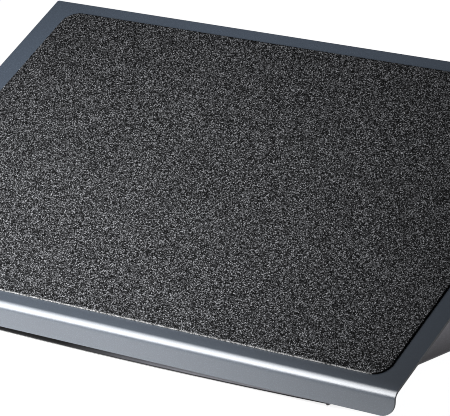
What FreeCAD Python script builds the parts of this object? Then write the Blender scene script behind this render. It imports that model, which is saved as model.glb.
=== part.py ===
import FreeCAD, Part
import math
import os
import Sketcher
from FreeCAD import Vector, Rotation, Placement

# Tilting under-desk footrest, modelled in the pose in which it stands when the
# back edge of the platform is raised to its steepest angle.
# Frame: +X right, +Y towards the wall behind the desk, +Z up.
# Origin: on the floor, under the middle of the footrest's bounding box.

doc = FreeCAD.newDocument("tilting_footrest")

# ---------------------------------------------------------------- dimensions
dims = doc.addObject("Spreadsheet::Sheet", "dims")

TABLE = [
    ("plate_width", "558", "platform plate, side to side"),
    ("plate_depth", "340.204", "platform plate, back edge to the start of the front fold"),
    ("plate_gauge", "1.8", "sheet thickness of the platform plate"),
    ("bend_outer", "8.5", "outer radius of the front fold"),
    ("lip_angle", "60", "angle the front lip is folded down through"),
    ("lip_length", "12.934", "flat part of the front lip"),
    ("lip_corner", "12", "rounding of the lip's two lower corners"),
    ("plate_corner", "1.5", "rounding of the plate's back corners"),
    ("mat_width", "517.6", "anti-slip mat, side to side"),
    ("mat_depth", "318.6", "anti-slip mat, front to back"),
    ("mat_gauge", "1.6", "anti-slip mat thickness"),
    ("mat_corner", "13.5", "rounding of the mat's corners"),
    ("mat_shift", "2.8", "mat centre to the right of the plate's middle"),
    ("mat_front", "8.734", "plate left bare in front of the mat"),
    ("tilt_rest", "30", "platform angle in the modelled pose"),
    ("origin_y", "145.637", "front fold line to the middle of the bounding box"),
    ("fold_height", "27.296", "front fold line above the floor"),
    ("pivot_u", "169.21", "pivot behind the front fold line, along the plate"),
    ("pivot_drop", "32", "pivot below the top of the plate"),
    ("pivot_shank", "5", "radius of the pivot bolt's shank"),
    ("pivot_y", "16.903", "pivot in the footrest's frame, front to back"),
    ("pivot_z", "84.188", "pivot above the floor"),
    ("base_half", "214", "middle of the base to the outside of a side panel"),
    ("base_depth", "279", "side panels, front to back"),
    ("base_gauge", "1.5", "sheet thickness of the base"),
    ("base_lift", "1.2", "underside of the base above the floor"),
    ("panel_end", "20", "height of a side panel's front and back ends"),
    ("panel_top", "104", "height of a side panel's crown"),
    ("crown_half", "18", "half the length of the crown's flat"),
    ("flange_width", "22", "foot flange, in from the outside of the panel"),
    ("flange_half", "113", "half the length of the foot flange"),
    ("fold_outer", "3", "outer radius of the base's folds"),
    ("relief", "1", "bend relief at the ends of the foot flange"),
    ("cross_height", "16", "height of the cross-members"),
    ("cross_depth", "24", "depth of the cross-members' flanges"),
    ("cross_bow", "7.5", "bow of the cross-members' faces, outwards at the middle"),
    ("screw_inset", "8.5", "first cross-member screw behind the front face"),
    ("screw_pitch", "10", "between the two screws of one joint"),
    ("screw_rise", "8", "cross-member screws above the base's underside"),
    ("screw_radius", "2.5", "M5 cross-member screw"),
    ("slot_radius", "30", "stop pin to pivot"),
    ("slot_half", "3.4", "half the width of the stop slot"),
    ("stop_pin", "3", "radius of the stop pin"),
    ("disc_gauge", "2", "friction disc thickness"),
    ("disc_radius", "22", "friction disc radius"),
    ("hanger_gap", "0.1", "running gap between hanger and friction disc"),
    ("hanger_gauge", "2.5", "sheet thickness of the hangers"),
    ("hanger_bend", "4", "outer radius of the hangers' fold"),
    ("hanger_half", "80", "half the length of the hangers' flange"),
    ("hanger_flange", "26", "width of the hangers' flange"),
    ("hanger_ear", "10", "rounding around the pivot and stop pin"),
    ("bush_radius", "7", "outer radius of the pivot bush"),
    ("bush_gap", "0.05", "radial running clearance of the bush"),
    ("stud_pitch", "60", "between the hanger studs"),
    ("stud_radius", "2.5", "M5 hanger stud"),
    ("rib_half", "170", "half the length of a stiffener"),
    ("rib_gauge", "1.2", "sheet thickness of a stiffener"),
    ("rib_height", "11", "depth of a stiffener"),
    ("rib_front_u", "56.134", "front stiffener behind the fold line"),
    ("rib_rear_u", "282.134", "rear stiffener behind the fold line"),
    ("foot_radius", "8", "rubber foot radius"),
    ("foot_x", "201", "rubber feet from the middle"),
    ("foot_y", "100", "rubber feet from the middle, front and back"),
]
NUMBERS = {}
for row, (alias, value, note) in enumerate(TABLE, start=2):
    dims.set("A%d" % row, alias)
    dims.set("B%d" % row, value)
    dims.set("C%d" % row, note)
    dims.setAlias("B%d" % row, alias)
    NUMBERS[alias] = float(value)
dims.set("A1", "dimension")
dims.set("B1", "millimetres or degrees")
dims.set("C1", "meaning")
doc.recompute()


class Size(object):
    """A length that knows both its number and its formula on the sheet."""

    def __init__(self, text, value):
        self.text = text
        self.value = float(value)

    @staticmethod
    def of(other):
        if isinstance(other, Size):
            return other
        return Size("%.9g" % other if other >= 0 else "(%.9g)" % other, other)

    def __add__(self, other):
        other = Size.of(other)
        return Size("(%s + %s)" % (self.text, other.text), self.value + other.value)

    __radd__ = __add__

    def __sub__(self, other):
        other = Size.of(other)
        return Size("(%s - %s)" % (self.text, other.text), self.value - other.value)

    def __rsub__(self, other):
        return Size.of(other) - self

    def __mul__(self, other):
        other = Size.of(other)
        return Size("(%s * %s)" % (self.text, other.text), self.value * other.value)

    __rmul__ = __mul__

    def __truediv__(self, other):
        other = Size.of(other)
        return Size("(%s / %s)" % (self.text, other.text), self.value / other.value)

    def __neg__(self):
        return Size("(0 - %s)" % self.text, -self.value)


def d(alias):
    return Size("dims." + alias, NUMBERS[alias])


def sind(size):
    size = Size.of(size)
    return Size("sin(%s * 1deg)" % size.text, math.sin(math.radians(size.value)))


def cosd(size):
    size = Size.of(size)
    return Size("cos(%s * 1deg)" % size.text, math.cos(math.radians(size.value)))


ZERO = Size.of(0.0)

# ------------------------------------------------------------------ helpers


def bind(obj, prop, size):
    obj.setExpression(prop, Size.of(size).text)


def new_body(name, label=None):
    body = doc.addObject("PartDesign::Body", name)
    body.Label = label or name
    return body


def new_sketch(body, name, plane, offset=None):
    """Sketch on one of the body's own planes, lifted along its normal."""
    sketch = body.newObject("Sketcher::SketchObject", name)
    origin = [f for f in body.Origin.OriginFeatures if f.Role == plane][0]
    sketch.AttachmentSupport = [(origin, "")]
    sketch.MapMode = "FlatFace"
    if offset is not None:
        bind(sketch, "AttachmentOffset.Base.z", offset)
    return sketch


def pin(sketch, geo, pos, x, y):
    """Hold one point of a sketch at coordinates given by the sheet."""
    for kind, axis, size in (("DistanceX", -2, x), ("DistanceY", -1, y)):
        if size is None:
            continue
        size = Size.of(size)
        if abs(size.value) < 1e-9:
            sketch.addConstraint(Sketcher.Constraint("PointOnObject", geo, pos, axis))
        else:
            index = sketch.addConstraint(
                Sketcher.Constraint(kind, -1, 1, geo, pos, size.value))
            sketch.setExpression("Constraints[%d]" % index, size.text)


def outline(sketch, points, arcs=None):
    """Closed outline through points. arcs: {i: (cx, cy, radius, ccw)} makes
    the side from point i to the next one an arc."""
    arcs = arcs or {}
    points = [(Size.of(x), Size.of(y)) for x, y in points]
    sides = []
    count = len(points)
    for i, (x, y) in enumerate(points):
        nx, ny = points[(i + 1) % count]
        a = Vector(x.value, y.value, 0)
        b = Vector(nx.value, ny.value, 0)
        if i in arcs:
            cx, cy, radius, ccw = arcs[i]
            cx, cy, radius = Size.of(cx), Size.of(cy), Size.of(radius)
            centre = Vector(cx.value, cy.value, 0)
            s = math.atan2(a.y - centre.y, a.x - centre.x)
            e = math.atan2(b.y - centre.y, b.x - centre.x)
            if not ccw:
                s, e = e, s
            while e <= s:
                e += 2 * math.pi
            circle = Part.Circle(centre, Vector(0, 0, 1), radius.value)
            geo = sketch.addGeometry(Part.ArcOfCircle(circle, s, e), False)
            chord = b - a
            if abs(chord.Length - 2 * radius.value) < 1e-6:
                hold = (cx, cy, abs(chord.x) > abs(chord.y))
            else:
                hold = radius
            sides.append((geo, 1 if ccw else 2, 2 if ccw else 1, hold))
        else:
            geo = sketch.addGeometry(Part.LineSegment(a, b), False)
            sides.append((geo, 1, 2, None))
    for i in range(count):
        geo, start, end, radius = sides[i]
        after, after_start = sides[(i + 1) % count][:2]
        sketch.addConstraint(
            Sketcher.Constraint("Coincident", geo, end, after, after_start))
    for i in range(count):
        geo, start, end, radius = sides[i]
        pin(sketch, geo, start, points[i][0], points[i][1])
        if isinstance(radius, tuple):
            # a half circle is held by its centre, sideways to its chord
            pin(sketch, geo, 3, None if radius[2] else radius[0],
                radius[1] if radius[2] else None)
        elif radius is not None:
            index = sketch.addConstraint(
                Sketcher.Constraint("Radius", geo, radius.value))
            sketch.setExpression("Constraints[%d]" % index, radius.text)


def circle(sketch, x, y, radius):
    x, y, radius = Size.of(x), Size.of(y), Size.of(radius)
    geo = sketch.addGeometry(
        Part.Circle(Vector(x.value, y.value, 0), Vector(0, 0, 1), radius.value), False)
    pin(sketch, geo, 3, x, y)
    index = sketch.addConstraint(Sketcher.Constraint("Radius", geo, radius.value))
    sketch.setExpression("Constraints[%d]" % index, radius.text)


def pad(body, sketch, name, length, reverse=False):
    feature = body.newObject("PartDesign::Pad", name)
    feature.Profile = sketch
    feature.Reversed = reverse
    bind(feature, "Length", length)
    sketch.Visibility = False
    doc.recompute()
    return feature


def pocket(body, sketch, name, length, reverse=False):
    before = body.Shape.Volume
    feature = body.newObject("PartDesign::Pocket", name)
    feature.Profile = sketch
    feature.Reversed = reverse
    bind(feature, "Length", length)
    sketch.Visibility = False
    doc.recompute()
    if not body.Shape.Volume < before - 1e-3:
        raise RuntimeError("%s removed nothing" % name)
    return feature


def revolve(body, sketch, name, axis):
    feature = body.newObject("PartDesign::Revolution", name)
    feature.Profile = sketch
    feature.ReferenceAxis = (sketch, [axis])
    feature.Angle = 360.0
    sketch.Visibility = False
    doc.recompute()
    return feature


def edges_where(shape, test):
    return ["Edge%d" % i for i, e in enumerate(shape.Edges, start=1) if test(e)]


def fillet(body, name, test, radius):
    names = edges_where(body.Shape, test)
    if not names:
        raise RuntimeError("%s found no edges" % name)
    feature = body.newObject("PartDesign::Fillet", name)
    feature.Base = (body.Tip if body.Tip is not feature else feature.BaseFeature, names)
    bind(feature, "Radius", radius)
    doc.recompute()
    return feature


def fillet_on(body, name, base, test, radius):
    names = edges_where(base.Shape, test)
    if not names:
        raise RuntimeError("%s found no edges" % name)
    feature = body.newObject("PartDesign::Fillet", name)
    feature.Base = (base, names)
    bind(feature, "Radius", radius)
    doc.recompute()
    return feature


def chamfer_on(body, name, base, test, size):
    names = edges_where(base.Shape, test)
    if not names:
        raise RuntimeError("%s found no edges" % name)
    feature = body.newObject("PartDesign::Chamfer", name)
    feature.Base = (base, names)
    bind(feature, "Size", size)
    doc.recompute()
    return feature


def straight(edge, axis):
    """True when an edge is a straight line along the axis 0, 1 or 2."""
    if edge.Curve.TypeId != "Part::GeomLine":
        return False
    a, b = edge.Vertexes[0].Point, edge.Vertexes[-1].Point
    diff = [abs(b[i] - a[i]) for i in range(3)]
    return diff[axis] > 1e-6 and all(diff[i] < 1e-6 for i in range(3) if i != axis)


def middle(edge):
    a, b = edge.Vertexes[0].Point, edge.Vertexes[-1].Point
    return (a + b) * 0.5


def near(a, b, tol=1e-3):
    return abs(a - b) < tol


def on_platform(obj):
    """Put a piece drawn on the flat platform into the tilted rest pose."""
    obj.Placement = Placement(
        Vector(0, -NUMBERS["origin_y"], NUMBERS["fold_height"]),
        Rotation(Vector(1, 0, 0), NUMBERS["tilt_rest"]))
    bind(obj, "Placement.Base.y", -d("origin_y"))
    bind(obj, "Placement.Base.z", d("fold_height"))
    bind(obj, "Placement.Rotation.Angle", d("tilt_rest"))


def mirrored(source, name, normal=Vector(1, 0, 0)):
    """The opposite-hand copy of a piece, across the middle of the footrest."""
    copy = doc.addObject("Part::Mirroring", name)
    copy.Label = name
    copy.Source = source
    copy.Base = Vector(0, 0, 0)
    copy.Normal = normal
    doc.recompute()
    return copy


def group(name, members):
    """Identical fasteners that share one node."""
    bundle = doc.addObject("Part::Compound", name)
    bundle.Label = name
    bundle.Links = members
    doc.recompute()
    return bundle


nodes = []

# ------------------------------------------------------------ platform plate
# One steel sheet: flat top, front edge folded down into a lip.
plate = new_body("platform_plate")
sk = new_sketch(plate, "plate_section", "YZ_Plane", -d("plate_width") / 2)
bend = d("bend_outer")
gauge = d("plate_gauge")
lip_c, lip_s = cosd(d("lip_angle")), sind(d("lip_angle"))
arc_u, arc_w = -(bend * lip_s), bend * lip_c - bend
tip_u, tip_w = arc_u - d("lip_length") * lip_c, arc_w - d("lip_length") * lip_s
outline(sk, [
    (d("plate_depth"), ZERO),
    (ZERO, ZERO),
    (arc_u, arc_w),
    (tip_u, tip_w),
    (tip_u + gauge * lip_s, tip_w - gauge * lip_c),
    (arc_u + gauge * lip_s, arc_w - gauge * lip_c),
    (ZERO, -gauge),
    (d("plate_depth"), -gauge),
], {1: (ZERO, -bend, bend, True), 5: (ZERO, -bend, bend - gauge, False)})
p = pad(plate, sk, "plate_sheet", d("plate_width"))
half = NUMBERS["plate_width"] / 2
p = fillet_on(plate, "lip_corners", p, lambda e: (
    e.Curve.TypeId == "Part::GeomLine" and near(e.Length, NUMBERS["plate_gauge"])
    and near(abs(middle(e).x), half) and middle(e).z < -10), d("lip_corner"))
p = fillet_on(plate, "back_corners", p, lambda e: (
    straight(e, 2) and near(abs(middle(e).x), half) and middle(e).y > 300),
    d("plate_corner"))
on_platform(plate)
nodes.append(plate)

# ------------------------------------------------------------- anti-slip mat
mat = new_body("anti_slip_mat")
sk = new_sketch(mat, "mat_outline", "XY_Plane")
left = d("mat_shift") - d("mat_width") / 2
right = d("mat_shift") + d("mat_width") / 2
front = d("mat_front")
back = d("mat_front") + d("mat_depth")
outline(sk, [(left, front), (right, front), (right, back), (left, back)])
p = pad(mat, sk, "mat_sheet", d("mat_gauge"))
p = fillet_on(mat, "mat_corners", p, lambda e: straight(e, 2), d("mat_corner"))
on_platform(mat)
nodes.append(mat)

# --------------------------------------------------- stiffeners under the plate
for name, place in (("stiffener_front", d("rib_front_u")), ("stiffener_rear", d("rib_rear_u"))):
    rib = new_body(name)
    sk = new_sketch(rib, name + "_section", "YZ_Plane", -d("rib_half"))
    top = -gauge
    rg = d("rib_gauge")
    low = top - d("rib_height")
    outline(sk, [
        (place - 20, top), (place - 8.7, top), (place - 6.2, low + rg),
        (place + 6.2, low + rg), (place + 8.7, top), (place + 20, top),
        (place + 20, top - rg), (place + 9.65, top - rg), (place + 7.2, low),
        (place - 7.2, low), (place - 9.65, top - rg), (place - 20, top - rg),
    ])
    p = pad(rib, sk, name + "_sheet", d("rib_half") * 2)
    on_platform(rib)
    nodes.append(rib)

# ------------------------------------------------------------------- hangers
# Folded angle under the plate: its flange is clamped by three studs and its
# ear carries the pivot bush and the stop pin.
hang_out = d("base_half") - d("base_gauge") - d("disc_gauge") - d("hanger_gap")
hang_in = hang_out - d("hanger_gauge")
hg = d("hanger_gauge")
hb = d("hanger_bend")
hanger = new_body("hanger_right")
sk = new_sketch(hanger, "hanger_ear", "YZ_Plane", hang_in)
pu, pw = d("pivot_u"), -d("pivot_drop")
ear = d("hanger_ear")
stop_w = pw - d("slot_radius")
ear_top = -gauge - hb
outline(sk, [
    (pu - d("hanger_half"), ear_top),
    (pu - d("hanger_half"), ear_top - 6),
    (pu - ear - 8, pw - 6),
    (pu - ear, stop_w),
    (pu + ear, stop_w),
    (pu + ear + 8, pw - 6),
    (pu + d("hanger_half"), ear_top - 6),
    (pu + d("hanger_half"), ear_top),
], {3: (pu, stop_w, ear, True)})
p = pad(hanger, sk, "hanger_ear_sheet", hg)
sk = new_sketch(hanger, "hanger_fold", "XZ_Plane", -(pu + d("hanger_half")))
outline(sk, [
    (hang_out, ear_top),
    (hang_out - hb, -gauge),
    (hang_out - d("hanger_flange"), -gauge),
    (hang_out - d("hanger_flange"), -gauge - hg),
    (hang_out - hb, -gauge - hg),
    (hang_in, ear_top),
], {0: (hang_out - hb, ear_top, hb, True), 4: (hang_out - hb, ear_top, hb - hg, False)})
p = pad(hanger, sk, "hanger_fold_sheet", d("hanger_half") * 2)
sk = new_sketch(hanger, "hanger_bores", "YZ_Plane", hang_out)
circle(sk, pu, pw, d("bush_radius"))
circle(sk, pu, stop_w, d("stop_pin"))
p = pocket(hanger, sk, "hanger_bore_cut", hg)
sk = new_sketch(hanger, "hanger_stud_holes", "XY_Plane", -gauge)
stud_x = hang_out - d("hanger_flange") / 2 - 2
for step in (-1, 0, 1):
    circle(sk, stud_x, pu + d("stud_pitch") * step, d("stud_radius") + 0.25)
p = pocket(hanger, sk, "hanger_stud_cut", hg)
p = fillet_on(hanger, "hanger_shoulders", p, lambda e: (
    straight(e, 0) and near(e.Length, NUMBERS["hanger_gauge"])
    and abs(middle(e).y - NUMBERS["pivot_u"]) < 25 and middle(e).z < -30
    and middle(e).z > -50), 10)
on_platform(hanger)
nodes.append(hanger)
nodes.append(mirrored(hanger, "hanger_left"))

# ----------------------------------------------------- hanger studs and nuts
stud = new_body("hanger_stud_master", "hanger_stud_master")
sk = new_sketch(stud, "stud_section", "XZ_Plane")
stud_top = -gauge
stud_tip = -gauge - 13
outline(sk, [
    (ZERO, stud_top), (d("stud_radius"), stud_top),
    (d("stud_radius"), stud_tip + 0.6), (d("stud_radius") - 0.6, stud_tip),
    (ZERO, stud_tip),
])
revolve(stud, sk, "stud_turned", "V_Axis")

nut = new_body("hanger_nut_master", "hanger_nut_master")
sk = new_sketch(nut, "nut_flange", "XY_Plane", -gauge - hg)
circle(sk, ZERO, ZERO, 5.9)
circle(sk, ZERO, ZERO, d("stud_radius"))
pad(nut, sk, "nut_flange_disc", 1.2, True)
sk = new_sketch(nut, "nut_hexagon", "XY_Plane", -gauge - hg - 1.2)
hexagon = [(4.619 * math.cos(math.radians(60 * k)), 4.619 * math.sin(math.radians(60 * k)))
           for k in range(6)]
outline(sk, [(Size.of(x), Size.of(y)) for x, y in hexagon])
circle(sk, ZERO, ZERO, d("stud_radius"))
pad(nut, sk, "nut_hexagon_prism", 3.8, True)


def copies(master, name, places):
    out = []
    for k, (x, y) in enumerate(places):
        link = doc.addObject("App::Link", "%s_%d" % (name, k + 1))
        link.LinkedObject = master
        link.LinkTransform = False
        x, y = Size.of(x), Size.of(y)
        link.Placement = Placement(Vector(x.value, y.value, 0), Rotation())
        bind(link, "Placement.Base.x", x)
        bind(link, "Placement.Base.y", y)
        out.append(link)
    doc.recompute()
    return out


stud_places = [(stud_x * side, pu + d("stud_pitch") * step)
               for side in (1, -1) for step in (-1, 0, 1)]
for name, master in (("hanger_studs", stud), ("hanger_nuts", nut)):
    bundle = group(name, copies(master, name, stud_places))
    on_platform(bundle)
    nodes.append(bundle)

# --------------------------------------------------- pivot bushes, stop pins
bush = new_body("pivot_bush_right")
sk = new_sketch(bush, "bush_section", "XY_Plane")
bore = d("pivot_shank") + d("bush_gap")
outline(sk, [
    (hang_out, bore), (hang_out, d("bush_radius")), (hang_in, d("bush_radius")),
    (hang_in, d("bush_radius") + 3), (hang_in - 1, d("bush_radius") + 3),
    (hang_in - 1, bore),
])
revolve(bush, sk, "bush_turned", "H_Axis")

stop = new_body("stop_pin_right")
sk = new_sketch(stop, "stop_section", "XY_Plane")
cap_in = d("base_half") + 0.5
outline(sk, [
    (hang_in - 1.4, ZERO), (cap_in + 1.8, ZERO), (cap_in + 1.8, Size.of(4.6)),
    (cap_in + 0.9, Size.of(5.5)), (cap_in, Size.of(5.5)), (cap_in, d("stop_pin")),
    (hang_in, d("stop_pin")), (hang_in, Size.of(4.5)), (hang_in - 1.4, Size.of(4.0)),
])
revolve(stop, sk, "stop_turned", "H_Axis")

for piece, drop in ((bush, d("pivot_drop")), (stop, d("pivot_drop") + d("slot_radius"))):
    # centre of the piece in the tilted platform, seen from the side
    cy = pu * cosd(d("tilt_rest")) + drop * sind(d("tilt_rest")) - d("origin_y")
    cz = pu * sind(d("tilt_rest")) - drop * cosd(d("tilt_rest")) + d("fold_height")
    piece.Placement = Placement(Vector(0, cy.value, cz.value), Rotation())
    bind(piece, "Placement.Base.y", cy)
    bind(piece, "Placement.Base.z", cz)
doc.recompute()
nodes.append(bush)
nodes.append(mirrored(bush, "pivot_bush_left"))
nodes.append(stop)
nodes.append(mirrored(stop, "stop_pin_left"))

# --------------------------------------------------------------- side panels
# Steel cheek with a foot flange folded inwards along its lower edge.
bg = d("base_gauge")
bh = d("base_half")
lift = d("base_lift")
fo = d("fold_outer")
half_depth = d("base_depth") / 2
panel = new_body("side_panel_right")
sk = new_sketch(panel, "panel_outline", "YZ_Plane", bh - bg)
outline(sk, [
    (-half_depth, lift),
    (-(d("flange_half") + d("relief")), lift),
    (-(d("flange_half") + d("relief")), lift + fo),
    (d("flange_half") + d("relief"), lift + fo),
    (d("flange_half") + d("relief"), lift),
    (half_depth, lift),
    (half_depth, d("panel_end")),
    (d("pivot_y") + d("crown_half"), d("panel_top")),
    (d("pivot_y") - d("crown_half"), d("panel_top")),
    (-half_depth, d("panel_end")),
])
p = pad(panel, sk, "panel_sheet", bg)
sk = new_sketch(panel, "panel_fold", "XZ_Plane", -d("flange_half"))
outline(sk, [
    (bh, lift + fo),
    (bh - bg, lift + fo),
    (bh - fo, lift + bg),
    (bh - d("flange_width"), lift + bg),
    (bh - d("flange_width"), lift),
    (bh - fo, lift),
], {1: (bh - fo, lift + fo, fo - bg, False), 5: (bh - fo, lift + fo, fo, True)})
p = pad(panel, sk, "panel_fold_sheet", d("flange_half") * 2)
sk = new_sketch(panel, "panel_holes", "YZ_Plane", bh)
py, pz = d("pivot_y"), d("pivot_z")
circle(sk, py, pz, d("pivot_shank") + 0.15)
for side in (-1, 1):
    for step in (0, 1):
        circle(sk, (half_depth - d("screw_inset") - d("screw_pitch") * step) * side,
               lift + d("screw_rise"), d("screw_radius") + 0.15)
p = pocket(panel, sk, "panel_hole_cut", bg)
# arc slot for the stop pin: straight below the pivot when the platform is
# flat, and swung back by the tilt angle when it is steepest
sk = new_sketch(panel, "panel_slot", "YZ_Plane", bh)
sr, sh = d("slot_radius"), d("slot_half")
swing = d("tilt_rest")
outline(sk, [
    (py, pz - sr - sh),
    (py + (sr + sh) * sind(swing), pz - (sr + sh) * cosd(swing)),
    (py + (sr - sh) * sind(swing), pz - (sr - sh) * cosd(swing)),
    (py, pz - sr + sh),
], {0: (py, pz, sr + sh, True),
    1: (py + sr * sind(swing), pz - sr * cosd(swing), sh, True),
    2: (py, pz, sr - sh, False),
    3: (py, pz - sr, sh, True)})
p = pocket(panel, sk, "panel_slot_cut", bg)
sk = new_sketch(panel, "panel_foot_holes", "XY_Plane", lift + bg)
for side in (-1, 1):
    circle(sk, d("foot_x"), d("foot_y") * side, Size.of(3.0))
p = pocket(panel, sk, "panel_foot_cut", bg)
p = fillet_on(panel, "panel_crown", p, lambda e: (
    straight(e, 0) and near(e.Length, NUMBERS["base_gauge"])
    and near(middle(e).z, NUMBERS["panel_top"])), 22)
p = fillet_on(panel, "panel_ends", p, lambda e: (
    straight(e, 0) and near(e.Length, NUMBERS["base_gauge"])
    and near(middle(e).z, NUMBERS["panel_end"])), 6)
p = fillet_on(panel, "flange_corners", p, lambda e: (
    straight(e, 2) and near(middle(e).x, NUMBERS["base_half"] - NUMBERS["flange_width"])), 5)
nodes.append(panel)
nodes.append(mirrored(panel, "side_panel_left"))

# ------------------------------------------------------------ cross-members
# Low channel between the side panels, its face bowed outwards, open towards
# the middle of the base, with an end wall that takes the screws.
cross = new_body("front_crossmember")
inside = bh - bg
ch = d("cross_height")
cd = d("cross_depth")
bow = d("cross_bow")
inner = inside - bg
bow_radius = (inside * inside + bow * bow) / (bow * 2)
bow_centre = bow_radius - bow - half_depth
sk = new_sketch(cross, "cross_plan", "XY_Plane", lift)
outline(sk, [
    (-inside, -half_depth), (inside, -half_depth),
    (inside, cd - half_depth), (-inside, cd - half_depth),
], {0: (ZERO, bow_centre, bow_radius, True)})
p = pad(cross, sk, "cross_block", ch)
sk = new_sketch(cross, "cross_hollow_plan", "XY_Plane", lift + ch - bg)
sag = bow - bow * (inner / inside) * (inner / inside)
hollow_y = bg - half_depth - sag
outline(sk, [
    (-inner, hollow_y), (inner, hollow_y),
    (inner, cd - half_depth + 2), (-inner, cd - half_depth + 2),
], {0: (ZERO, bow_centre, bow_radius - bg, True)})
p = pocket(cross, sk, "cross_hollow", ch - bg * 2)


def bowed(edge, radius):
    return (edge.Curve.TypeId == "Part::GeomCircle"
            and near(edge.Curve.Radius, radius, 0.5) and edge.Length > 100)


p = fillet_on(cross, "cross_folds", p, lambda e: bowed(e, bow_radius.value), fo)
p = fillet_on(cross, "cross_inner_folds", p, lambda e: bowed(e, bow_radius.value - bg.value),
              fo - bg)
sk = new_sketch(cross, "cross_holes", "YZ_Plane", inside)
for step in (0, 1):
    circle(sk, -half_depth + d("screw_inset") + d("screw_pitch") * step,
           lift + d("screw_rise"), d("screw_radius") + 0.15)
pocket(cross, sk, "cross_hole_cut", inside * 2)
nodes.append(cross)
nodes.append(mirrored(cross, "rear_crossmember", Vector(0, 1, 0)))

# --------------------------------------------- cross-member screws and nuts
screw = new_body("crossmember_screw_master")
sk = new_sketch(screw, "screw_section", "XY_Plane")
outline(sk, [
    (bh - 13, ZERO), (bh + 2.7, ZERO), (bh + 2.7, Size.of(2.6)),
    (bh, Size.of(4.75)), (bh, d("screw_radius")), (bh - 12.4, d("screw_radius")),
    (bh - 13, d("screw_radius") - 0.6),
], {2: (bh - 1.5764, ZERO, Size.of(5.0047), True)})
revolve(screw, sk, "screw_turned", "H_Axis")
sk = new_sketch(screw, "screw_socket", "YZ_Plane", bh + 2.7)
outline(sk, [(Size.of(1.732 * math.cos(math.radians(60 * k))),
              Size.of(1.732 * math.sin(math.radians(60 * k)))) for k in range(6)])
pocket(screw, sk, "screw_socket_cut", 1.5)

screw_nut = new_body("crossmember_nut_master")
nut_face = bh - bg * 2
sk = new_sketch(screw_nut, "screw_nut_flange", "YZ_Plane", nut_face)
circle(sk, ZERO, ZERO, 4.9)
circle(sk, ZERO, ZERO, d("screw_radius"))
pad(screw_nut, sk, "screw_nut_disc", 1.2, True)
sk = new_sketch(screw_nut, "screw_nut_hexagon", "YZ_Plane", nut_face - 1.2)
outline(sk, [(Size.of(4.619 * math.cos(math.radians(60 * k))),
              Size.of(4.619 * math.sin(math.radians(60 * k)))) for k in range(6)])
circle(sk, ZERO, ZERO, d("screw_radius"))
pad(screw_nut, sk, "screw_nut_prism", 3.6, True)

for name, master in (("crossmember_screws", screw), ("crossmember_nuts", screw_nut)):
    members = []
    for side in (-1, 1):
        for step in (0, 1):
            link = doc.addObject("App::Link", "%s_%d_%d" % (name, side + 1, step))
            link.LinkedObject = master
            link.LinkTransform = False
            y = (half_depth - d("screw_inset") - d("screw_pitch") * step) * side
            z = lift + d("screw_rise")
            link.Placement = Placement(Vector(0, y.value, z.value), Rotation())
            bind(link, "Placement.Base.y", y)
            bind(link, "Placement.Base.z", z)
            members.append(link)
    doc.recompute()
    one_side = group(name + "_right", members)
    other = mirrored(one_side, name + "_left")
    nodes.append(group(name, [one_side, other]))

# --------------------------------------------------------------- rubber feet
foot = new_body("foot_front_right")
sk = new_sketch(foot, "foot_section", "XZ_Plane")
fr = d("foot_radius")
outline(sk, [
    (ZERO, ZERO), (fr - 0.8, ZERO), (fr, Size.of(0.8)), (fr, lift), (Size.of(3.0), lift),
    (Size.of(3.0), lift + bg), (Size.of(4.2), lift + bg), (Size.of(2.4), lift + bg + 2.4),
    (ZERO, lift + bg + 2.4),
], {1: (fr - 0.8, Size.of(0.8), Size.of(0.8), True)})
revolve(foot, sk, "foot_moulded", "V_Axis")
foot.Placement = Placement(Vector(NUMBERS["foot_x"], -NUMBERS["foot_y"], 0), Rotation())
bind(foot, "Placement.Base.x", d("foot_x"))
bind(foot, "Placement.Base.y", -d("foot_y"))
doc.recompute()
foot_left = mirrored(foot, "foot_front_left")
nodes.append(foot)
nodes.append(foot_left)
nodes.append(mirrored(foot, "foot_rear_right", Vector(0, 1, 0)))
nodes.append(mirrored(foot_left, "foot_rear_left", Vector(0, 1, 0)))

# -------------------------------------------------------------- pivot stacks
# From the outside in: bolt head, side panel, friction disc, hanger with its
# bush, thrust washer, disc spring, nut.
bolt = new_body("pivot_bolt_right")
sk = new_sketch(bolt, "bolt_section", "XY_Plane")
shank = d("pivot_shank")
bolt_tip = hang_in - 15
outline(sk, [
    (bolt_tip, ZERO), (bh + 3.6, ZERO), (bh + 3.6, Size.of(5.2)), (bh + 1.2, Size.of(10.0)),
    (bh, Size.of(10.0)), (bh, shank), (bolt_tip + 1, shank), (bolt_tip, shank - 1),
], {2: (bh - 12.8, ZERO, Size.of(17.2047), True)})

disc = new_body("friction_disc_right")
sk2 = new_sketch(disc, "disc_section", "XY_Plane")
outline(sk2, [
    (inside - d("disc_gauge"), shank + 0.2), (inside - d("disc_gauge"), d("disc_radius")),
    (inside, d("disc_radius")), (inside, shank + 0.2),
])

washer = new_body("thrust_washer_right")
sk3 = new_sketch(washer, "washer_section", "XY_Plane")
wash_out = hang_in - 1 - 0.2
outline(sk3, [
    (wash_out - 1.5, shank + 0.2), (wash_out - 1.5, Size.of(12.0)),
    (wash_out, Size.of(12.0)), (wash_out, shank + 0.2),
])

spring = new_body("disc_spring_right")
sk4 = new_sketch(spring, "spring_section", "XY_Plane")
spr = wash_out - 1.5
outline(sk4, [
    (spr, Size.of(11.0)), (spr - 1.0, Size.of(11.0)), (spr - 1.8, shank + 0.2),
    (spr - 0.8, shank + 0.2),
])

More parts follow.
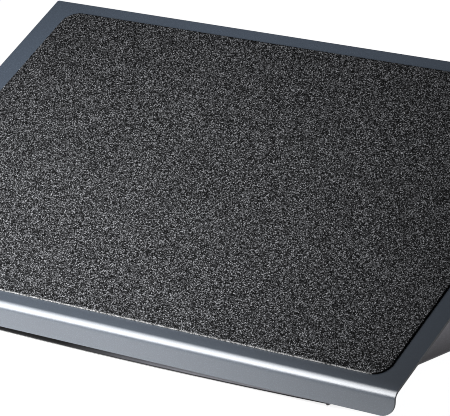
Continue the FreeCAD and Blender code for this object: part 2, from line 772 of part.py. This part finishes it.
big_nut = new_body("pivot_nut_right")
nut_out = spr - 1.8
sk5 = new_sketch(big_nut, "pivot_nut_collar", "YZ_Plane", nut_out)
circle(sk5, ZERO, ZERO, 8.1)
circle(sk5, ZERO, ZERO, shank)
pad(big_nut, sk5, "pivot_nut_washer_face", 0.6, True)
sk5 = new_sketch(big_nut, "pivot_nut_hexagon", "YZ_Plane", nut_out - 0.6)
outline(sk5, [(Size.of(9.815 * math.cos(math.radians(60 * k))),
               Size.of(9.815 * math.sin(math.radians(60 * k)))) for k in range(6)])
circle(sk5, ZERO, ZERO, shank)
pad(big_nut, sk5, "pivot_nut_prism", 6.4, True)
sk5 = new_sketch(big_nut, "pivot_nut_insert", "YZ_Plane", nut_out - 7.0)
circle(sk5, ZERO, ZERO, 7.2)
circle(sk5, ZERO, ZERO, shank)
pad(big_nut, sk5, "pivot_nut_crown", 2.2, True)

revolve(bolt, sk, "bolt_turned", "H_Axis")
revolve(disc, sk2, "disc_turned", "H_Axis")
revolve(washer, sk3, "washer_turned", "H_Axis")
revolve(spring, sk4, "spring_turned", "H_Axis")

for piece, left_name in ((bolt, "pivot_bolt_left"), (disc, "friction_disc_left"),
                         (washer, "thrust_washer_left"), (spring, "disc_spring_left"),
                         (big_nut, "pivot_nut_left")):
    piece.Placement = Placement(Vector(0, py.value, pz.value), Rotation())
    bind(piece, "Placement.Base.y", py)
    bind(piece, "Placement.Base.z", pz)
    doc.recompute()
    nodes.append(piece)
    nodes.append(mirrored(piece, left_name))

# -------------------------------------------------------------------- export
doc.recompute()
for obj in doc.Objects:
    state = [s for s in obj.State if s in ("Invalid", "Error")]
    if state:
        raise RuntimeError("%s is %s" % (obj.Name, state))
for obj in nodes:
    shape = obj.Shape
    if shape.isNull() or not shape.isValid() or not shape.Solids:
        raise RuntimeError("%s has no valid solid" % obj.Label)

os.makedirs("parts", exist_ok=True)
low = [1e9, 1e9, 1e9]
high = [-1e9, -1e9, -1e9]
for obj in nodes:
    shape = Part.getShape(obj) if obj.isDerivedFrom("App::Link") else obj.Shape
    shape.exportStep("parts/%s.step" % obj.Label)
    box = shape.BoundBox
    for i, (a, b) in enumerate(((box.XMin, box.XMax), (box.YMin, box.YMax), (box.ZMin, box.ZMax))):
        low[i] = min(low[i], a)
        high[i] = max(high[i], b)
    print("%-22s solids %2d  volume %10.1f  x %.2f..%.2f  y %.2f..%.2f  z %.2f..%.2f" % (
        obj.Label, len(shape.Solids), shape.Volume,
        box.XMin, box.XMax, box.YMin, box.YMax, box.ZMin, box.ZMax))
print("pieces", len(nodes), "box", [round(v, 3) for v in low], [round(v, 3) for v in high])
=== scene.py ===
import math

import bmesh
import bpy
import numpy as np
from mathutils import Matrix, Vector


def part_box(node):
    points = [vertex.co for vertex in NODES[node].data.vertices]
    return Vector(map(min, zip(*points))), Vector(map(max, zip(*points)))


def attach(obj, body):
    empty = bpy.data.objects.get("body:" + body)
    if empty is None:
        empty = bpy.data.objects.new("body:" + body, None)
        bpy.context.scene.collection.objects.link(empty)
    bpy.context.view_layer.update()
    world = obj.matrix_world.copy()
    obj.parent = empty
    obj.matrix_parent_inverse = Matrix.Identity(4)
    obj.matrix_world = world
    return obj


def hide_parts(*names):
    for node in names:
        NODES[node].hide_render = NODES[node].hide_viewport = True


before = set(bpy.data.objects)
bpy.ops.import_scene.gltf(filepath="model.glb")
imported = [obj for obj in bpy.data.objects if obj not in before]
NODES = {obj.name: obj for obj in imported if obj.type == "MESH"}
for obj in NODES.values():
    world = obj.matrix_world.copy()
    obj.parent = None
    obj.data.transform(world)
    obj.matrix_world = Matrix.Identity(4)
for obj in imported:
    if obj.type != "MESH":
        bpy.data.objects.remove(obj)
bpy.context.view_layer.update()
MM = 0.001

# ------------------------------------------------------------------ numbers
# Sizes of the CAD model, in millimetres.
WIDTH, DEPTH, GAUGE = 558.0, 340.204, 1.8
BEND, LIP_ANGLE, LIP_FLAT, LIP_CORNER = 8.5, 60.0, 12.934, 12.0
BACK_CORNER = 1.5
MAT_W, MAT_D, MAT_T, MAT_R = 517.6, 318.6, 1.6, 13.5
MAT_SHIFT, MAT_FRONT = 2.8, 8.734
TILT = math.radians(30.0)
ORIGIN_Y, FOLD_Z = 145.637, 27.296


def platform_matrix():
    """Flat platform (millimetres) to the tilted rest pose (metres)."""
    return (Matrix.Translation(Vector((0, -ORIGIN_Y, FOLD_Z)) * MM)
            @ Matrix.Rotation(TILT, 4, "X") @ Matrix.Scale(MM, 4))


PLATFORM = platform_matrix()

# ----------------------------------------------------------- node material kit


class Mat(object):
    """A node material with a few shorthands."""

    def __init__(self, name):
        self.mat = bpy.data.materials.new(name)
        self.mat.use_nodes = True
        self.tree = self.mat.node_tree
        self.tree.nodes.clear()
        self.out = self.tree.nodes.new("ShaderNodeOutputMaterial")
        self.bsdf = self.tree.nodes.new("ShaderNodeBsdfPrincipled")
        self.link(self.bsdf.outputs["BSDF"], self.out.inputs["Surface"])
        self.coords = self.tree.nodes.new("ShaderNodeTexCoord")

    def link(self, a, b):
        self.tree.links.new(a, b)

    def set(self, **values):
        for key, value in values.items():
            self.bsdf.inputs[key.replace("_", " ")].default_value = value
        return self

    def noise(self, scale, detail=2.0, rough=0.5, distortion=0.0, vector=None, stretch=None):
        node = self.tree.nodes.new("ShaderNodeTexNoise")
        node.inputs["Scale"].default_value = scale
        node.inputs["Detail"].default_value = detail
        node.inputs["Roughness"].default_value = rough
        node.inputs["Distortion"].default_value = distortion
        src = vector or self.coords.outputs["Object"]
        if stretch is not None:
            mapping = self.tree.nodes.new("ShaderNodeMapping")
            mapping.inputs["Scale"].default_value = stretch
            self.link(src, mapping.inputs["Vector"])
            src = mapping.outputs["Vector"]
        self.link(src, node.inputs["Vector"])
        return node.outputs["Fac"]

    def cells(self, scale, randomness=1.0, feature="F1"):
        """Cells: distance from the middle of each, and a number of its own."""
        node = self.tree.nodes.new("ShaderNodeTexVoronoi")
        node.feature = feature
        node.inputs["Scale"].default_value = scale
        node.inputs["Randomness"].default_value = randomness
        self.link(self.coords.outputs["Object"], node.inputs["Vector"])
        split = self.tree.nodes.new("ShaderNodeSeparateColor")
        self.link(node.outputs["Color"], split.inputs["Color"])
        return node.outputs["Distance"], split.outputs["Red"], split.outputs["Green"]

    def ramp(self, fac, stops):
        node = self.tree.nodes.new("ShaderNodeValToRGB")
        while len(node.color_ramp.elements) < len(stops):
            node.color_ramp.elements.new(0.5)
        for element, (pos, colour) in zip(node.color_ramp.elements, stops):
            element.position = pos
            if isinstance(colour, (int, float)):
                colour = (colour, colour, colour)
            element.color = (*colour, 1.0)
        self.link(fac, node.inputs["Fac"])
        return node.outputs["Color"]

    def mix(self, fac, a, b, blend="MIX"):
        node = self.tree.nodes.new("ShaderNodeMix")
        node.data_type = "RGBA"
        node.blend_type = blend
        for socket, value in ((node.inputs[0], fac), (node.inputs[6], a), (node.inputs[7], b)):
            if hasattr(value, "is_linked") or hasattr(value, "node"):
                self.link(value, socket)
            elif isinstance(value, (int, float)):
                socket.default_value = value
            else:
                socket.default_value = (*value, 1.0)
        return node.outputs[2]

    def math(self, op, a, b=0.0):
        node = self.tree.nodes.new("ShaderNodeMath")
        node.operation = op
        for socket, value in ((node.inputs[0], a), (node.inputs[1], b)):
            if isinstance(value, (int, float)):
                socket.default_value = value
            else:
                self.link(value, socket)
        return node.outputs[0]

    def remap(self, fac, low, high, start=0.0, end=1.0):
        node = self.tree.nodes.new("ShaderNodeMapRange")
        node.inputs["From Min"].default_value = start
        node.inputs["From Max"].default_value = end
        node.inputs["To Min"].default_value = low
        node.inputs["To Max"].default_value = high
        self.link(fac, node.inputs["Value"])
        return node.outputs["Result"]

    def bump(self, height, strength, distance, normal=None):
        node = self.tree.nodes.new("ShaderNodeBump")
        node.inputs["Strength"].default_value = strength
        node.inputs["Distance"].default_value = distance
        self.link(height, node.inputs["Height"])
        if normal is not None:
            self.link(normal, node.inputs["Normal"])
        return node.outputs["Normal"]

    def attribute(self, name):
        node = self.tree.nodes.new("ShaderNodeAttribute")
        node.attribute_name = name
        return node.outputs["Fac"]


def powder_coat(name, dark, light, rough, metallic, fleck=0.0, coat=0.0, peel=0.25, specular=0.5,
                low=None, across=None):
    """Sprayed powder paint: faint flecks, uneven gloss and orange peel. With
    low, the colour is darker by that factor near the floor: painted shade. With
    across, it varies from the left side over the middle to the right, and a
    little from the back to the front, on the top above the bend only: painted light and shade."""
    m = Mat(name)
    m.set(Metallic=metallic, Specular_IOR_Level=specular)
    m.set(Coat_Weight=coat, Coat_Roughness=0.28, Coat_IOR=1.6)
    cloud = m.noise(9.0, 3.0)
    grain = m.noise(1400.0, 1.0)
    base = m.ramp(cloud, [(0.3, dark), (0.7, light)])
    if fleck:
        spark = m.ramp(grain, [(0.5, 0.0), (0.72, 1.0)])
        bright = tuple(min(1.0, c * (1.0 + fleck) + 0.01 * fleck) for c in light)
        base = m.mix(spark, base, bright)
    if low is not None:
        place = m.tree.nodes.new("ShaderNodeSeparateXYZ")
        m.link(m.coords.outputs["Object"], place.inputs["Vector"])
        # painted shade: the colour darkens by the factor low towards the floor
        depth = m.remap(place.outputs["Z"], 0.0, 1.0, 0.0041, 0.0229)
        base = m.mix(1.0, base, m.ramp(depth, [(0.0, low), (1.0, 1.0)]), "MULTIPLY")
    if across is not None:
        place = m.tree.nodes.new("ShaderNodeSeparateXYZ")
        m.link(m.coords.outputs["Object"], place.inputs["Vector"])
        side = m.remap(place.outputs["X"], 0.0, 1.0, -0.28, 0.28)
        factor = m.ramp(side, [(0.0, across[0]), (0.5, across[1]), (1.0, across[2])])
        above = m.remap(place.outputs["Z"], 0.0, 1.0, 0.022, 0.030)
        back = m.ramp(m.remap(place.outputs["Z"], 0.0, 1.0, 0.03, 0.19), [(0.0, (0.536, 0.577, 0.620)), (1.0, (0.80, 0.861, 0.925))])
        # painted light and shade on the top above the bend: lighter on the left, darker on the right
        # and towards the front
        painted_light_ramp = m.mix(1.0, m.mix(1.0, base, factor, "MULTIPLY"), back, "MULTIPLY")
        base = m.mix(above, base, painted_light_ramp)
    m.link(base, m.bsdf.inputs["Base Color"])
    m.link(m.remap(m.noise(600.0, 2.0), rough - 0.05, rough + 0.06), m.bsdf.inputs["Roughness"])
    fine = m.bump(m.noise(900.0, 2.0), peel, 0.00008)
    m.link(m.bump(m.noise(160.0, 1.0), peel * 0.5, 0.0002, fine), m.bsdf.inputs["Normal"])
    return m.mat


def turned_metal(name, colour, rough, metallic=1.0):
    """Plated or blackened fasteners, with fine marks and duller patches."""
    m = Mat(name)
    m.set(Metallic=metallic)
    patch = m.noise(180.0, 4.0, 0.6)
    m.link(m.ramp(patch, [(0.3, tuple(c * 0.82 for c in colour)), (0.7, colour)]),
           m.bsdf.inputs["Base Color"])
    m.link(m.remap(m.noise(420.0, 3.0), rough - 0.08, rough + 0.1), m.bsdf.inputs["Roughness"])
    lines = m.noise(300.0, 2.0, stretch=(14.0, 1.0, 1.0))
    m.link(m.bump(lines, 0.2, 0.00005), m.bsdf.inputs["Normal"])
    return m.mat


def moulded(name, dark, light, rough):
    """Moulded rubber, polymer or fibre with a fine matt texture."""
    m = Mat(name)
    m.link(m.ramp(m.noise(260.0, 3.0), [(0.3, dark), (0.7, light)]), m.bsdf.inputs["Base Color"])
    m.link(m.remap(m.noise(90.0, 2.0), rough - 0.06, rough + 0.08), m.bsdf.inputs["Roughness"])
    m.link(m.bump(m.noise(1200.0, 2.0), 0.3, 0.0001), m.bsdf.inputs["Normal"])
    return m.mat


def mat_rubber():
    """Charcoal rubber moulded with fine pebbles: black between them as painted shade,
    each pebble with its own tone, partly random and partly painted glints, lighter tops and darker
    hollows.
    Paler towards the front and the left: painted light of the key lamp. The front cut edge is a painted
    highlight."""
    m = Mat("pebbled_rubber")
    m.set(Specular_IOR_Level=0.03)
    distance, own, other = m.cells(1200.0)
    # each pebble's own tone, up to pale grey: partly random tone, partly painted glints
    shade = m.ramp(own, [(0.0, (0.0013, 0.0013, 0.0014)), (0.25, (0.0110, 0.0113, 0.0121)),
                         (0.5, (0.0478, 0.0486, 0.0520)), (0.75, (0.136, 0.139, 0.147)),
                         (1.0, (0.310, 0.315, 0.331))])
    # painted shade: darker towards each pebble's edge, black between pebbles
    crown = m.ramp(distance, [(0.15, 1.0), (0.62, 0.08)])
    colour = m.mix(1.0, shade, crown, "MULTIPLY")
    # painted shade in the hollows, painted light on the pebble tops
    swell = m.ramp(m.attribute("pebble"), [(0.0, 0.7), (1.0, 1.25)])
    colour = m.mix(1.0, colour, swell, "MULTIPLY")
    place = m.tree.nodes.new("ShaderNodeSeparateXYZ")
    m.link(m.coords.outputs["Object"], place.inputs["Vector"])
    # painted light of the key lamp: paler towards the front
    painted_front_light = m.ramp(m.remap(place.outputs["Y"], 0.0, 1.0, -0.145, 0.15),
                     [(0.0, 1.0), (0.45, 0.74), (1.0, 0.69)])
    # painted light of the key lamp: paler towards the left
    side = m.ramp(m.remap(place.outputs["X"], 0.0, 1.0, -0.28, 0.28),
                  [(0.0, 1.0), (0.5, 0.86), (1.0, 0.82)])
    colour = m.mix(1.0, m.mix(1.0, colour, painted_front_light, "MULTIPLY"), side, "MULTIPLY")
    wall = m.attribute("wall")
    # painted highlight along the front cut edge; the other cut edges stay black
    painted_edge_highlight = m.ramp(m.noise(500.0, 2.0, 0.7), [(0.38, 0.05), (0.6, 0.42)])
    edge = m.mix(m.attribute("front"), (0.0035, 0.0035, 0.0038), painted_edge_highlight)
    colour = m.mix(wall, colour, edge)
    m.link(colour, m.bsdf.inputs["Base Color"])
    m.link(m.remap(other, 0.6, 0.8), m.bsdf.inputs["Roughness"])
    grain = m.math("SUBTRACT", 1.0, distance)
    m.link(m.bump(grain, 0.8, 0.0004), m.bsdf.inputs["Normal"])
    return m.mat


# across paints light and shade into the top: lighter on the left, darker on the right
PAINT = powder_coat("platform_paint", (0.0385, 0.0465, 0.0590), (0.0418, 0.0505, 0.0640), 0.5, 0.5,
                    fleck=0.3, coat=1.0, peel=0.15, specular=0.1, across=(1.32, 1.06, 0.74))
# platform_edge: darker paint for the sheet's cut edges, painted shade
PAINT_EDGE = powder_coat("platform_edge", (0.012, 0.014, 0.018), (0.018, 0.021, 0.026), 0.6, 0.0)
PAINT_UNDER = powder_coat("underside_paint", (0.060, 0.078, 0.102), (0.068, 0.088, 0.115), 0.46, 0.3,
                          fleck=0.3)
# low=0.33 paints shade on the side panels, darker towards the floor
GREY = powder_coat("base_grey_paint", (0.128, 0.124, 0.140), (0.143, 0.139, 0.156), 0.5, 0.0, fleck=0.2,
                   specular=0.15, low=0.33)


def front_black():
    """Black paint of the front cross-member, greyer on its right half as a painted
    reflection of the bright floor, and darker along its lowest edge as painted shade."""
    m = Mat("front_black_paint")
    m.set(Specular_IOR_Level=0.05)
    place = m.tree.nodes.new("ShaderNodeSeparateXYZ")
    m.link(m.coords.outputs["Object"], place.inputs["Vector"])
    along = m.remap(place.outputs["X"], 0.0, 1.0, -0.03, 0.19)
    # painted reflection: black on the left, paler grey towards the right
    painted_light_ramp = m.ramp(along, [(0.0, (0.002, 0.002, 0.0022)), (0.17, (0.019, 0.019, 0.021)),
                          (0.36, (0.060, 0.060, 0.067)), (0.6, (0.112, 0.112, 0.124)),
                          (1.0, (0.175, 0.175, 0.194))])
    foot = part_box("front_crossmember")[0][2]
    rise = m.remap(place.outputs["Z"], 0.0, 1.0, foot + 0.0014, foot + 0.0021)
    # painted shade: dark along the lowest edge
    tone = m.mix(rise, (0.008, 0.008, 0.009), painted_light_ramp)
    patch = m.ramp(m.noise(60.0, 3.0), [(0.3, 0.85), (0.7, 1.0)])
    m.link(m.mix(1.0, tone, patch, "MULTIPLY"), m.bsdf.inputs["Base Color"])
    m.link(m.remap(m.noise(600.0, 2.0), 0.55, 0.66), m.bsdf.inputs["Roughness"])
    m.link(m.bump(m.noise(900.0, 2.0), 0.25, 0.00008), m.bsdf.inputs["Normal"])
    return m.mat


FRONT_BLACK = front_black()
BLACK = powder_coat("base_black_paint", (0.0015, 0.0015, 0.0016), (0.0025, 0.0025, 0.0028), 0.6, 0.0,
                    specular=0.05)
RUBBER = mat_rubber()
FOOT = moulded("foot_rubber", (0.010, 0.010, 0.010), (0.022, 0.022, 0.022), 0.75)
FIBRE = moulded("friction_fibre", (0.07, 0.045, 0.028), (0.13, 0.09, 0.055), 0.8)
POLYMER = moulded("bush_polymer", (0.46, 0.45, 0.41), (0.56, 0.55, 0.50), 0.45)
ZINC = turned_metal("zinc_plated_steel", (0.60, 0.61, 0.63), 0.34)
SPRING = turned_metal("spring_steel", (0.30, 0.29, 0.28), 0.38)
DARK_METAL = turned_metal("blackened_steel", (0.035, 0.035, 0.038), 0.38, 0.8)


# ------------------------------------------------------------- mesh helpers


def mesh_object(name, verts, faces, material, smooth=True):
    mesh = bpy.data.meshes.new(name)
    mesh.from_pydata([tuple(v) for v in verts], [], [tuple(f) for f in faces])
    mesh.update()
    mesh.materials.append(material)
    obj = bpy.data.objects.new(name, mesh)
    bpy.context.scene.collection.objects.link(obj)
    if smooth:
        mesh.polygons.foreach_set("use_smooth", [True] * len(mesh.polygons))
    return obj


def to_platform(obj):
    obj.data.transform(PLATFORM)
    return obj


# ------------------------------------------------------------ platform plate


def platform_plate():
    """One sheet with its front edge folded down, its lip's lower corners
    rounded, and every edge deburred."""
    half = WIDTH / 2
    # columns: fine where the corners are rounded
    xs = [half - LIP_CORNER + LIP_CORNER * math.sin(math.radians(a)) for a in range(0, 91, 6)]
    inner = list(np.linspace(-(half - LIP_CORNER), half - LIP_CORNER, 61))
    columns = [-x for x in reversed(xs[1:])] + inner + xs[1:]
    # rows along the sheet, from the back edge to the end of the bend
    rows = []
    for u in list(np.linspace(DEPTH, 0.0, 29)):
        rows.append((u, 0.0))
    steps = 20
    for k in range(1, steps + 1):
        a = math.radians(LIP_ANGLE) * k / steps
        rows.append((-BEND * math.sin(a), -BEND + BEND * math.cos(a)))
    a = math.radians(LIP_ANGLE)
    du, dw = -math.cos(a), -math.sin(a)
    verts, faces = [], []
    lip_rows = 6
    for x in columns:
        over = max(0.0, abs(x) - (half - LIP_CORNER))
        short = LIP_CORNER - math.sqrt(max(0.0, LIP_CORNER ** 2 - over ** 2))
        over_back = max(0.0, abs(x) - (half - BACK_CORNER))
        short_back = BACK_CORNER - math.sqrt(max(0.0, BACK_CORNER ** 2 - over_back ** 2))
        for j, (u, w) in enumerate(rows):
            verts.append((x, u - (short_back if j == 0 else 0.0), w))
        u, w = rows[-1]
        length = LIP_FLAT - short
        for k in range(1, lip_rows + 1):
            step = length * k / lip_rows
            verts.append((x, u + du * step, w + dw * step))
    n = len(rows) + lip_rows
    for i in range(len(columns) - 1):
        for j in range(n - 1):
            p = i * n + j
            faces.append((p, p + 1, p + n + 1, p + n))
    obj = mesh_object("platform_sheet", verts, faces, PAINT)
    obj.data.materials.append(PAINT_EDGE)
    to_platform(obj)
    solid = obj.modifiers.new("gauge", "SOLIDIFY")
    solid.thickness = GAUGE * MM
    solid.offset = -1.0
    solid.use_even_offset = True
    solid.use_quality_normals = True
    # the cut edges take the darker platform_edge paint: painted shade
    solid.material_offset_rim = 1
    bevel = obj.modifiers.new("deburred", "BEVEL")
    bevel.width = 0.5 * MM
    bevel.segments = 3
    bevel.material = 0
    bevel.limit_method = "ANGLE"
    bevel.angle_limit = math.radians(50)
    bevel.harden_normals = False
    bevel.use_clamp_overlap = True
    weight = obj.modifiers.new("flat_faces", "WEIGHTED_NORMAL")
    weight.keep_sharp = True
    return obj


plate = platform_plate()
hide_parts("platform_plate")
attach(plate, "platform")

# ------------------------------------------------------------ anti-slip mat


def pebble_height(x, y, seed, shortest, longest, waves):
    """A field of rounded bumps of about one size, from many plane waves."""
    rng = np.random.RandomState(seed)
    total = np.zeros_like(x)
    for _ in range(waves):
        angle = rng.uniform(0, 2 * math.pi)
        k = 2 * math.pi / rng.uniform(shortest, longest)
        total += np.cos(k * (x * math.cos(angle) + y * math.sin(angle)) + rng.uniform(0, 2 * math.pi))
    return total / math.sqrt(waves / 2)


def anti_slip_mat():
    """Rounded rectangle of rubber with pebbles moulded into its top."""
    pitch = 0.9
    nr = max(6, int(round(MAT_R / pitch)))
    nx = int(round((MAT_W - 2 * MAT_R) / pitch))
    ny = int(round((MAT_D - 2 * MAT_R) / pitch))

    def axis_values(n_straight, span):
        corner = np.linspace(0, 1, nr + 1)[1:]
        straight = np.linspace(-span / 2, span / 2, n_straight + 1)
        # value, and how far into a corner square, signed
        values = [(-span / 2, -c) for c in reversed(corner)]
        values += [(v, 0.0) for v in straight]
        values += [(span / 2, c) for c in corner]
        return values

    ax = axis_values(nx, MAT_W - 2 * MAT_R)
    ay = axis_values(ny, MAT_D - 2 * MAT_R)
    bx = np.array([v for v, c in ax])[:, None]
    px = np.array([c for v, c in ax])[:, None]
    by = np.array([v for v, c in ay])[None, :]
    py = np.array([c for v, c in ay])[None, :]
    X = bx + MAT_R * px * np.sqrt(1 - py ** 2 / 2)
    Y = by + MAT_R * py * np.sqrt(1 - px ** 2 / 2)
    coarse = pebble_height(X, Y, 11, 2.3, 3.6, 70)
    small = pebble_height(X, Y, 12, 1.9, 2.4, 50)
    field = 0.75 * coarse + 0.45 * small
    height = np.tanh(field * 0.9)
    level = 0.5 + 0.5 * height
    cols, rows = X.shape
    top = np.stack([X, Y, MAT_T - 0.13 + 0.13 * height], axis=-1).reshape(-1, 3)
    index = np.arange(cols * rows).reshape(cols, rows)
    faces = np.stack([index[:-1, :-1], index[1:, :-1], index[1:, 1:], index[:-1, 1:]],
                     axis=-1).reshape(-1, 4).tolist()
    loop = (list(index[:, 0]) + list(index[-1, 1:]) + list(index[-2::-1, -1])
            + list(index[0, -2:0:-1]))
    verts = top.tolist()
    levels = level.reshape(-1).tolist()
    walls = [0.0] * len(levels)
    fronts = [0.0] * len(levels)
    front_line = -MAT_D / 2 + 0.35
    for v in loop:
        walls[v] = 0.35
        fronts[v] = 1.0 if verts[v][1] < front_line else 0.0
    previous = loop
    for drop in (MAT_T - 0.36, 0.9, 0.35, 0.0):
        ring = []
        for v in loop:
            x, y, z = verts[v]
            ring.append(len(verts))
            verts.append([x, y, drop])
            levels.append(0.3)
            walls.append(1.0)
            fronts.append(1.0 if y < front_line else 0.0)
        count = len(loop)
        for k in range(count):
            a, b = previous[k], previous[(k + 1) % count]
            faces.append((a, ring[k], ring[(k + 1) % count], b))
        previous = ring
    faces.append(list(reversed(previous)))
    verts = [(x + MAT_SHIFT, y + MAT_FRONT + MAT_D / 2, z) for x, y, z in verts]
    obj = mesh_object("anti_slip_sheet", verts, faces, RUBBER)
    obj.data.polygons[len(obj.data.polygons) - 1].use_smooth = False
    for label, values in (("pebble", levels), ("wall", walls), ("front", fronts)):
        attribute = obj.data.attributes.new(label, "FLOAT", "POINT")
        attribute.data.foreach_set("value", values)
    return to_platform(obj)


mat_piece = anti_slip_mat()
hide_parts("anti_slip_mat")
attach(mat_piece, "platform")

# ------------------------------------------------------- the other CAD pieces
LOOKS = [
    (("stiffener", "hanger_right", "hanger_left"), PAINT_UNDER, 0.25),
    (("side_panel",), GREY, 0.35),
    (("front_crossmember",), FRONT_BLACK, 0.3),
    (("rear_crossmember",), BLACK, 0.3),
    (("foot_",), FOOT, 0.2),
    (("friction_disc",), FIBRE, 0.2),
    (("pivot_bush",), POLYMER, 0.15),
    (("disc_spring",), SPRING, 0.12),
    (("crossmember_screws", "pivot_bolt", "stop_pin"), DARK_METAL, 0.25),
    (("hanger_studs", "hanger_nuts", "crossmember_nuts", "thrust_washer", "pivot_nut"), ZINC, 0.2),
]
for name, obj in NODES.items():
    for starts, material, width in LOOKS:
        if name.startswith(starts):
            obj.data.materials.clear()
            obj.data.materials.append(material)
            bevel = obj.modifiers.new("edges", "BEVEL")
            bevel.width = width * MM
            bevel.segments = 2
            bevel.limit_method = "ANGLE"
            bevel.angle_limit = math.radians(35)
            weight = obj.modifiers.new("flat_faces", "WEIGHTED_NORMAL")
            weight.keep_sharp = False
            break

# ---------------------------------------------------------- floor and lights


def studio_floor():
    """Pale floor under the key light; its own faint glow, which stands for the
    background lamps, fades in around the object, nearest on its right."""
    m = Mat("pale_floor")
    m.set(Roughness=0.9, Specular_IOR_Level=0.2)
    place = m.tree.nodes.new("ShaderNodeSeparateXYZ")
    m.link(m.coords.outputs["Object"], place.inputs["Vector"])
    across = m.math("ADD", m.math("MULTIPLY", place.outputs["X"], 0.6),
                    m.math("MULTIPLY", place.outputs["Y"], 0.8))
    near = m.remap(across, 0.1, 0.95, -0.12, 0.04)
    far = m.math("SQRT", m.math("ADD", m.math("MULTIPLY", place.outputs["X"], place.outputs["X"]),
                                m.math("MULTIPLY", place.outputs["Y"], place.outputs["Y"])))
    front = m.math("MULTIPLY", m.remap(place.outputs["X"], 0.54, 0.0, 0.0, 0.2),
                   m.remap(place.outputs["Y"], 1.0, 0.0, -0.16, -0.12))
    glow = m.math("MAXIMUM", m.math("ADD", near, front), m.remap(far, 0.1, 0.95, 0.29, 0.46))
    m.link(glow, m.bsdf.inputs["Emission Strength"])
    m.link(m.ramp(m.noise(1.5, 3.0), [(0.3, (0.80, 0.80, 0.80)), (0.7, (0.84, 0.84, 0.84))]),
           m.bsdf.inputs["Base Color"])
    m.bsdf.inputs["Emission Color"].default_value = (1.0, 1.0, 1.0, 1.0)
    return mesh_object("floor", [(-9, -9, 0), (9, -9, 0), (9, 9, 0), (-9, 9, 0)],
                       [(0, 1, 2, 3)], m.mat, smooth=False)


studio_floor()

world = bpy.data.worlds.new("studio")
bpy.context.scene.world = world
world.use_nodes = True
background = world.node_tree.nodes["Background"]
background.inputs["Color"].default_value = (1.0, 1.0, 1.0, 1.0)
background.inputs["Strength"].default_value = 0.08


def softbox(name, middle, toward_right, toward_top, size, power, spread=180.0, colour=(1, 1, 1)):
    """A rectangular diffuser, given by the directions of its two sides."""
    light = bpy.data.lights.new(name, "AREA")
    light.shape = "RECTANGLE"
    light.size, light.size_y = size
    light.energy = power
    light.color = colour
    light.spread = math.radians(spread)
    obj = bpy.data.objects.new(name, light)
    obj.visible_camera = False
    x = Vector(toward_right).normalized()
    y = Vector(toward_top)
    y = (y - y.dot(x) * x).normalized()
    z = x.cross(y)
    matrix = Matrix.Translation(Vector(middle))
    for i in range(3):
        matrix[i][0], matrix[i][1], matrix[i][2] = x[i], y[i], z[i]
    obj.matrix_world = matrix
    bpy.context.scene.collection.objects.link(obj)
    return obj


softbox("key_front_left", (-0.1856, -0.2975, 0.2790), (0.9381, -0.2518, 0.238),
        (-0.0748, 0.5235, 0.8487), (0.611, 0.415), 5.0, 103.6)

# -------------------------------------------------------------------- camera
# Long lens, at the photograph's viewing angle.
F_PX = 3213.392
camera_data = bpy.data.cameras.new("camera")
camera_data.sensor_fit = "HORIZONTAL"
camera_data.sensor_width = 36.0
camera_data.lens = F_PX / 450.0 * 36.0
camera_data.clip_start = 0.05
camera_data.clip_end = 60.0
camera = bpy.data.objects.new("camera", camera_data)
right = Vector((0.80048583, 0.59931056, 0.0070201))
down = Vector((0.15770404, -0.1993128, -0.96716278))
forward = Vector((-0.57823167, 0.7753072, -0.25406076))
position = Vector((1485.920, -1972.056, 735.155)) * MM
m = Matrix.Identity(4)
for i in range(3):
    m[i][0] = right[i]
    m[i][1] = -down[i]
    m[i][2] = -forward[i]
    m[i][3] = position[i]
camera.matrix_world = m
bpy.context.scene.collection.objects.link(camera)
bpy.context.scene.camera = camera

scene = bpy.context.scene
scene.view_settings.view_transform = "Standard"
scene.view_settings.look = "None"
scene.view_settings.exposure = 0.0
scene.cycles.filter_width = 1.0
scene.cycles.denoising_prefilter = "NONE"
